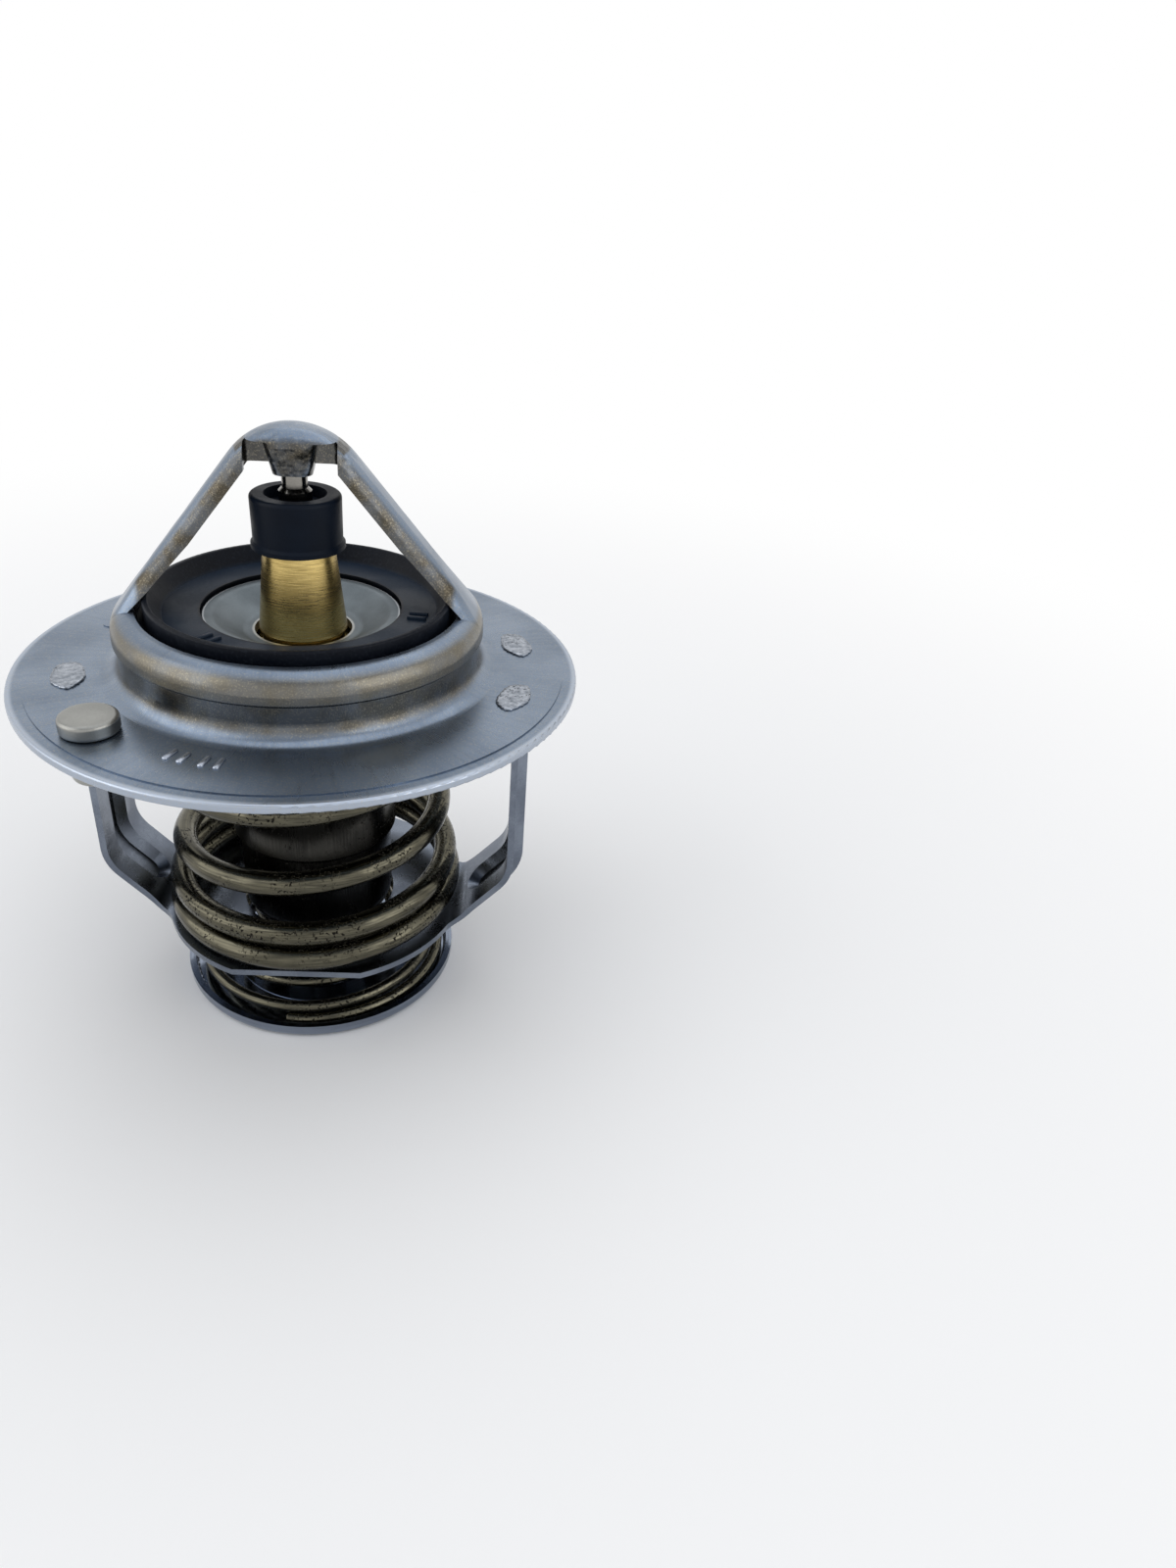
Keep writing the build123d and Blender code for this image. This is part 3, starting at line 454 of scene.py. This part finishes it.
SPRING_STEEL = Finish(
    "spring_wire", (0.14, 0.13, 0.093), (0.042, 0.040, 0.031), roughness=0.2, spread=0.07,
    patch_mm=4.0, grain=Grain.TURNED, line_mm=0.22, run=5.0, line_depth=0.012, line_tone=0.75,
    pits=0.8, pit_mm=0.35,
)
TURNED_BRASS = Finish(
    "turned_brass", (0.70, 0.53, 0.21), (0.40, 0.29, 0.10), roughness=0.3, spread=0.08,
    grain=Grain.TURNED, line_mm=0.1, run=1.5, line_depth=0.01, line_tone=0.75,
)
CUP_BRASS = Finish(
    "tarnished_cup", (0.058, 0.056, 0.050), (0.024, 0.0235, 0.022), roughness=0.26, spread=0.08,
    grain=Grain.RADIAL, line_mm=0.22, run=9.0, line_depth=0.003, line_tone=0.3,
    pits=0.5, pit_mm=0.5,
    # Upper band of the cup: painted highlight, lighter streaks where it catches the light.
    zones=(Zone((0.11, 0.104, 0.088), 0.5, z=(33.5, 38.5), soft=0.6, patchy=0.4),),
)
PISTON_STEEL = Finish(
    "ground_steel", (0.28, 0.27, 0.245), (0.19, 0.18, 0.165), roughness=0.16, spread=0.05,
    grain=Grain.TURNED, line_mm=0.1, line_depth=0.003,
)
PIN_STEEL = Finish(
    "turned_pin", (0.34, 0.34, 0.32), (0.25, 0.25, 0.235), roughness=0.33, spread=0.06,
    line_mm=0.2, line_depth=0.002,
)
PLATE_STEEL = Finish(
    "matt_plate", (0.165, 0.19, 0.205), (0.12, 0.14, 0.152), roughness=0.5, spread=0.06,
    line_mm=0.16, line_depth=0.006,
    zones=(
        # Painted highlight: a thin bright ring on the plate's rim by the seal.
        Zone((0.55, 0.57, 0.59), 0.85, r=(10.85, 11.15), z=(50.0, 50.6), soft=0.08),
        # Painted highlight: a thin bright ring on the lip round the plate's hole.
        Zone((0.5, 0.5, 0.47), 0.8, r=(5.4, 5.75), soft=0.1),
    ),
)
RETAINER_STEEL = Finish("pressed_retainer", (0.22, 0.24, 0.27), (0.14, 0.15, 0.17), line_mm=0.3)
BYPASS_STEEL = Finish(
    "polished_bypass", (0.27, 0.31, 0.38), (0.18, 0.205, 0.255), roughness=0.12, spread=0.04,
    grain=Grain.TURNED, line_mm=0.25, run=2.0, line_depth=0.001, line_tone=0.5,
)
RUBBER = Finish(
    "moulded_rubber", (0.003, 0.004, 0.007), (0.005, 0.007, 0.012), metallic=0.0,
    roughness=0.4, spread=0.08, patch_mm=5.0, line_mm=0.35, line_depth=0.004, gloss=0.1,
    # Flat ring of the seal: painted sheen, a blue-black lighter than the rest of the rubber.
    zones=(Zone((0.009, 0.017, 0.031), 0.9, r=(11.4, 15.3), z=(50.4, 51.4), soft=0.2),),
    grit=0.03, grit_mm=0.3, grit_colour=(0.2, 0.24, 0.3),
)
CAP = Finish(
    "moulded_cap", (0.002, 0.0045, 0.010), (0.004, 0.0075, 0.015), metallic=0.0,
    roughness=0.46, spread=0.07, patch_mm=3.0, line_mm=0.25, line_depth=0.004, gloss=0.1,
)
WHITE_RING = Finish(
    "white_ring", (0.8, 0.79, 0.75), (0.7, 0.69, 0.65), metallic=0.0, roughness=0.5, line_mm=0.3
)
WAX = Finish("copper_wax", (0.5, 0.27, 0.14), (0.36, 0.18, 0.09), metallic=0.0, roughness=0.6)
WELD = Finish(
    "weld_mark", (0.42, 0.45, 0.50), (0.16, 0.18, 0.21), roughness=0.34, spread=0.1,
    patch_mm=0.8, line_mm=0.5, line_depth=0.07, line_tone=0.5, pits=0.7, pit_mm=0.3,
)
# The stamped bars are painted lighter than the flange: a painted highlight on the raised marks.
STAMP_HIGHLIGHT = Finish(
    "stamp_painted_highlight", (0.47, 0.51, 0.58), (0.31, 0.34, 0.40), roughness=0.22, spread=0.05,
    line_mm=0.3,
)


# ---------------------------------------------------------------- pieces
def fix_order(bm: bmesh.types.BMesh) -> None:
    """Sort vertices and faces by place, so that every run gives the same order."""
    bm.verts.sort(key=lambda vert: vert.co.dot(ORDER_AXIS))
    bm.verts.index_update()
    bm.faces.sort(key=lambda face: face.calc_center_median().dot(ORDER_AXIS))
    bm.faces.index_update()


def new_piece(
    name: str, bm: bmesh.types.BMesh, body: str, material: bpy.types.Material
) -> bpy.types.Object:
    """Make a finished object from a bmesh and let it ride on a body.

    Args:
        name: Name of the piece.
        bm: Its shape, in metres and in place. It is freed.
        body: Body that it rides on.
        material: Its finish.

    Returns:
        The new object.
    """
    bmesh.ops.remove_doubles(bm, verts=bm.verts, dist=MERGE_GAP)
    bmesh.ops.recalc_face_normals(bm, faces=bm.faces)
    for face in bm.faces:
        face.smooth = True
    mesh = bpy.data.meshes.new(name)
    bm.to_mesh(mesh)
    bm.free()
    mesh.materials.append(material)
    piece = bpy.data.objects.new(name, mesh)
    bpy.context.scene.collection.objects.link(piece)
    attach(piece, body)
    log.info("made %s on %s: %d faces", name, body, len(mesh.polygons))
    return piece


@dataclass
class Assembly:
    """A group of frame nodes and their finishes."""

    nodes: dict[str, bpy.types.Object]
    made: list[str] = field(default_factory=list)

    def dress(self, finish: Finish, *names: str) -> bpy.types.Material:
        """Give frame nodes a finish.

        Args:
            finish: The finish.
            names: Names of the nodes.

        Returns:
            The finish's material.
        """
        material = finish.material()
        for name in names:
            mesh = self.nodes[name].data
            mesh.materials.clear()
            mesh.materials.append(material)
            self.made.append(name)
            log.info("dressed %s with %s", name, finish.name)
        return material


@dataclass
class Flange(Assembly):
    """Upper frame with its weld marks and its row of stamped bars, in millimetres."""

    weld_r: float = 25.7
    weld_turns: Sequence[float] = (-21.5, 11.5, -168.5)
    weld_half: tuple[float, float] = (1.78, 3.3)
    weld_height: float = 0.17
    weld_crown: float = 0.02
    weld_inset: float = 0.3
    weld_corners: int = 48
    weld_lobes: int = 5
    weld_lobe_depth: float = 0.035
    weld_ripple: float = 2.4
    weld_ripple_depth: float = 0.025
    bar_r: float = 25.2
    bar_turns: Sequence[float] = (-116.0, -112.5, -107.5, -104.0)
    bar_half: tuple[float, float] = (1.05, 0.3)
    bar_height: float = 0.22
    bar_round: float = 0.18

    def build(self) -> None:
        """Dress the frame and make its marks."""
        self.dress(FRAME_STEEL, "upper_frame")
        for index, turn in enumerate(self.weld_turns):
            self.weld(f"weld_mark_{index + 1}", turn, WELD.material())
        # The stamped bars' finish carries a painted highlight.
        for index, turn in enumerate(self.bar_turns):
            self.bar(f"stamped_bar_{index + 1}", turn, STAMP_HIGHLIGHT.material())

    def place(self, bm: bmesh.types.BMesh, r: float, turn: float) -> None:
        """Move a shape made round the origin to its radius and direction on the flange."""
        turned = Matrix.Rotation(math.radians(turn), 4, "Z")
        bmesh.ops.transform(
            bm, matrix=turned @ Matrix.Translation((r * MM, 0, FLANGE_TOP * MM)), verts=bm.verts
        )

    def weld(self, name: str, turn: float, material: bpy.types.Material) -> None:
        """Make one oval weld mark with an uneven edge.

        Args:
            name: Name of the piece.
            turn: Direction of the mark, in degrees.
            material: Its finish.
        """
        bm = bmesh.new()
        disc = bmesh.ops.create_circle(
            bm, cap_ends=True, segments=self.weld_corners, radius=MM
        )
        wide, long = self.weld_half
        for index, vert in enumerate(disc["verts"]):
            lobe = math.sin(self.weld_lobes * index * math.tau / self.weld_corners + turn)
            ripple = math.sin(index * self.weld_ripple)
            wave = 1 + self.weld_lobe_depth * lobe + self.weld_ripple_depth * ripple
            vert.co = Vector((vert.co.x * wide * wave, vert.co.y * long * wave, 0))
        top = bmesh.ops.extrude_face_region(bm, geom=bm.faces[:])
        raised = [v for v in top["geom"] if isinstance(v, bmesh.types.BMVert)]
        bmesh.ops.translate(bm, vec=(0, 0, self.weld_height * MM), verts=raised)
        lid = [f for f in top["geom"] if isinstance(f, bmesh.types.BMFace)]
        bmesh.ops.inset_region(bm, faces=lid, thickness=self.weld_inset * MM, depth=0.0)
        crown = list({v for f in lid for v in f.verts})
        bmesh.ops.translate(bm, vec=(0, 0, self.weld_crown * MM), verts=crown)
        self.place(bm, self.weld_r, turn)
        fix_order(bm)
        new_piece(name, bm, "frame", material)

    def bar(self, name: str, turn: float, material: bpy.types.Material) -> None:
        """Make one plain stamped bar with rounded edges.

        Args:
            name: Name of the piece.
            turn: Direction of the bar, in degrees.
            material: Its finish.
        """
        bm = bmesh.new()
        bmesh.ops.create_cube(bm, size=2 * MM)
        bmesh.ops.scale(bm, vec=(*self.bar_half, self.bar_height), verts=bm.verts)
        bmesh.ops.bevel(
            bm, geom=bm.edges[:], offset=self.bar_round * MM, segments=3, profile=0.5,
            affect="EDGES", material=-1,
        )
        self.place(bm, self.bar_r, turn)
        new_piece(name, bm, "frame", material)


@dataclass(frozen=True)
class Spring:
    """One spring: what it stands for, how it moves, and its still end, in millimetres."""

    name: str
    node: str
    body: str
    joint: str
    fixed_z: float
    travel: float


@dataclass
class Coils(Assembly):
    """The main spring and the bypass spring."""

    springs: Sequence[Spring] = (
        Spring("main_coil", "main_spring", "frame", "valve_lift", 10.8, 8.5),
        Spring("bypass_coil", "bypass_spring", "element", "bypass_lift", 9.6, 5.0),
    )

    def build(self) -> None:
        """Make both springs."""
        for spring in self.springs:
            self.coil(spring)

    def coil(self, spring: Spring) -> None:
        """Make one spring from its node.

        Args:
            spring: The spring.
        """
        bm = bmesh.new()
        bm.from_mesh(self.nodes[spring.node].data)
        piece = new_piece(spring.name, bm, spring.body, SPRING_STEEL.material())
        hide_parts(spring.node)
        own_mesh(piece)
        self.made.append(spring.node)


@dataclass
class Element(Assembly):
    """The wax element, the main valve and what moves with them."""

    nib_r: float = 13.35
    nib_turns: Sequence[float] = (-131.4, -11.4, 108.6)
    nib_z: float = FLANGE_TOP + 6.8
    nib_half: tuple[float, float, float] = (1.1, 0.28, 0.3)
    nib_apart: float = 1.3
    nib_round: float = 0.12

    def build(self) -> None:
        """Dress the element and make the seal's moulded nibs."""
        self.dress(TURNED_BRASS, "guide")
        self.dress(CUP_BRASS, "wax_cup")
        self.dress(PISTON_STEEL, "piston")
        self.dress(PLATE_STEEL, "valve_plate")
        self.dress(RETAINER_STEEL, "spring_retainer")
        self.dress(CAP, "dust_cap")
        self.dress(WHITE_RING, "backup_ring")
        self.dress(WAX, "wax_charge")
        rubber = self.dress(RUBBER, "valve_seal", "guide_seal", "rubber_sleeve")
        for index, turn in enumerate(self.nib_turns):
            self.nibs(f"seal_nibs_{index + 1}", turn, rubber)

    def nibs(self, name: str, turn: float, material: bpy.types.Material) -> None:
        """Make a pair of plain moulded bars on the seal.

        Args:
            name: Name of the piece.
            turn: Direction of the pair, in degrees.
            material: The rubber.
        """
        bm = bmesh.new()
        for side in (-0.5, 0.5):
            bar = bmesh.ops.create_cube(bm, size=2 * MM)["verts"]
            bmesh.ops.scale(bm, vec=self.nib_half, verts=bar)
            bmesh.ops.translate(bm, vec=(0, side * self.nib_apart * MM, 0), verts=bar)
        bmesh.ops.bevel(
            bm, geom=bm.edges[:], offset=self.nib_round * MM, segments=2, profile=0.5,
            affect="EDGES", material=-1,
        )
        turned = Matrix.Rotation(math.radians(turn), 4, "Z")
        at = Matrix.Translation((self.nib_r * MM, 0, self.nib_z * MM))
        bmesh.ops.transform(bm, matrix=turned @ at, verts=bm.verts)
        new_piece(name, bm, "element", material)


@dataclass
class Lower(Assembly):
    """The legs, the bypass valve and the jiggle pin."""

    def build(self) -> None:
        """Dress the lower pieces."""
        self.dress(LEG_STEEL, "lower_frame")
        self.dress(BYPASS_STEEL, "bypass_valve")
        self.dress(PIN_STEEL, "bypass_stem", "stem_clip", "jiggle_pin", "jiggle_weight")


# ---------------------------------------------------------------- studio
@dataclass
class Lamp:
    """One soft lamp, in metres."""

    name: str
    at: tuple[float, float, float]
    size: float
    power: float


@dataclass
class Studio:
    """Camera, floor, world and lamps. Places are in metres and angles in degrees."""

    camera_at: tuple[float, float, float] = (0.013947, -0.119467, 0.09946)
    heading: float = -10.0
    pitch: float = 59.01
    roll: float = 5.07
    lens: float = 24.75
    nearest: float = 0.005
    floor_colour: Colour = (0.86, 0.86, 0.86)
    floor_half: float = 4.0
    floor_roughness: float = 0.8
    floor_fade_mm: tuple[float, float] = (60.0, 260.0)
    room_colour: Colour = (0.52, 0.53, 0.55)
    overhead: Colour = (0.4, 0.43, 0.48)
    overhead_band: tuple[float, float] = (0.5, 0.95)
    aim: tuple[float, float, float] = (0.0, 0.0, 0.045)
    lamps: Sequence[Lamp] = (
        Lamp("top_lamp", (0.05, 0.10, 0.55), 0.8, 1.6),
        Lamp("left_lamp", (-0.5, -0.12, 0.3), 0.6, 1.3),
        Lamp("right_lamp", (0.45, -0.3, 0.25), 0.45, 0.8),
    )

    def build(self) -> None:
        """Set the scene up."""
        bpy.context.scene.view_settings.view_transform = "Standard"
        self.camera()
        self.floor()
        self.world()
        for lamp in self.lamps:
            self.lamp(lamp)

    def camera(self) -> None:
        """Make the camera."""
        data = bpy.data.cameras.new("camera")
        data.lens = self.lens
        data.clip_start = self.nearest
        camera = bpy.data.objects.new("camera", data)
        turn = (
            Matrix.Rotation(math.radians(self.heading), 4, "Z")
            @ Matrix.Rotation(math.radians(self.pitch), 4, "X")
            @ Matrix.Rotation(math.radians(self.roll), 4, "Z")
        )
        camera.matrix_world = Matrix.Translation(self.camera_at) @ turn
        bpy.context.scene.collection.objects.link(camera)
        bpy.context.scene.camera = camera

    def floor(self) -> None:
        """Lay the pale floor, which fades into the white room away from the object."""
        bm = bmesh.new()
        bmesh.ops.create_grid(bm, x_segments=1, y_segments=1, size=self.floor_half)
        mesh = bpy.data.meshes.new("floor")
        bm.to_mesh(mesh)
        bm.free()
        material = bpy.data.materials.new("pale_floor")
        graph = Graph(material)
        shader = graph.add("ShaderNodeBsdfPrincipled")
        shader.inputs["Base Color"].default_value = (*self.floor_colour, 1.0)
        shader.inputs["Roughness"].default_value = self.floor_roughness
        white = graph.add("ShaderNodeEmission")
        far = graph.spread(graph.polar()["r"], *self.floor_fade_mm)
        graph.swap(graph.math("MULTIPLY", far, graph.shown()), shader.outputs[0], white.outputs[0])
        mesh.materials.append(material)
        floor = bpy.data.objects.new("floor", mesh)
        bpy.context.scene.collection.objects.link(floor)

    def world(self) -> None:
        """Make the white room round the object, greyer overhead."""
        world = bpy.data.worlds.new("room")
        bpy.context.scene.world = world
        graph = Graph(world, "ShaderNodeOutputWorld")
        split = graph.add("ShaderNodeSeparateXYZ")
        graph.feed(split.inputs[0], graph.add("ShaderNodeTexCoord").outputs["Generated"])
        room = graph.add("ShaderNodeBackground")
        room.inputs["Color"].default_value = (*self.room_colour, 1.0)
        backdrop = graph.add("ShaderNodeBackground")
        overhead = graph.spread(split.outputs[2], *self.overhead_band)
        graph.feed(backdrop.inputs["Color"], graph.mix(overhead, (1.0, 1.0, 1.0), self.overhead))
        graph.swap(graph.shown(), room.outputs[0], backdrop.outputs[0])

    def lamp(self, lamp: Lamp) -> None:
        """Hang one lamp, facing the object."""
        data = bpy.data.lights.new(lamp.name, "AREA")
        data.size = lamp.size
        data.energy = lamp.power
        made = bpy.data.objects.new(lamp.name, data)
        made.location = lamp.at
        aim = Vector(self.aim) - Vector(lamp.at)
        made.rotation_euler = aim.to_track_quat("-Z", "Y").to_euler()
        bpy.context.scene.collection.objects.link(made)


def main() -> None:
    """Build the scene."""
    logging.basicConfig(level=logging.INFO, format="%(name)s: %(message)s")
    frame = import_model()
    Studio().build()
    nodes = frame["nodes"]
    dressed: list[str] = []
    for assembly in (Flange(nodes), Coils(nodes), Element(nodes), Lower(nodes)):
        assembly.build()
        dressed += assembly.made
    plain = sorted(set(nodes) - set(dressed))
    log.info("nodes without a finish: %s", plain or "none")


if __name__ == "__main__":
    main()
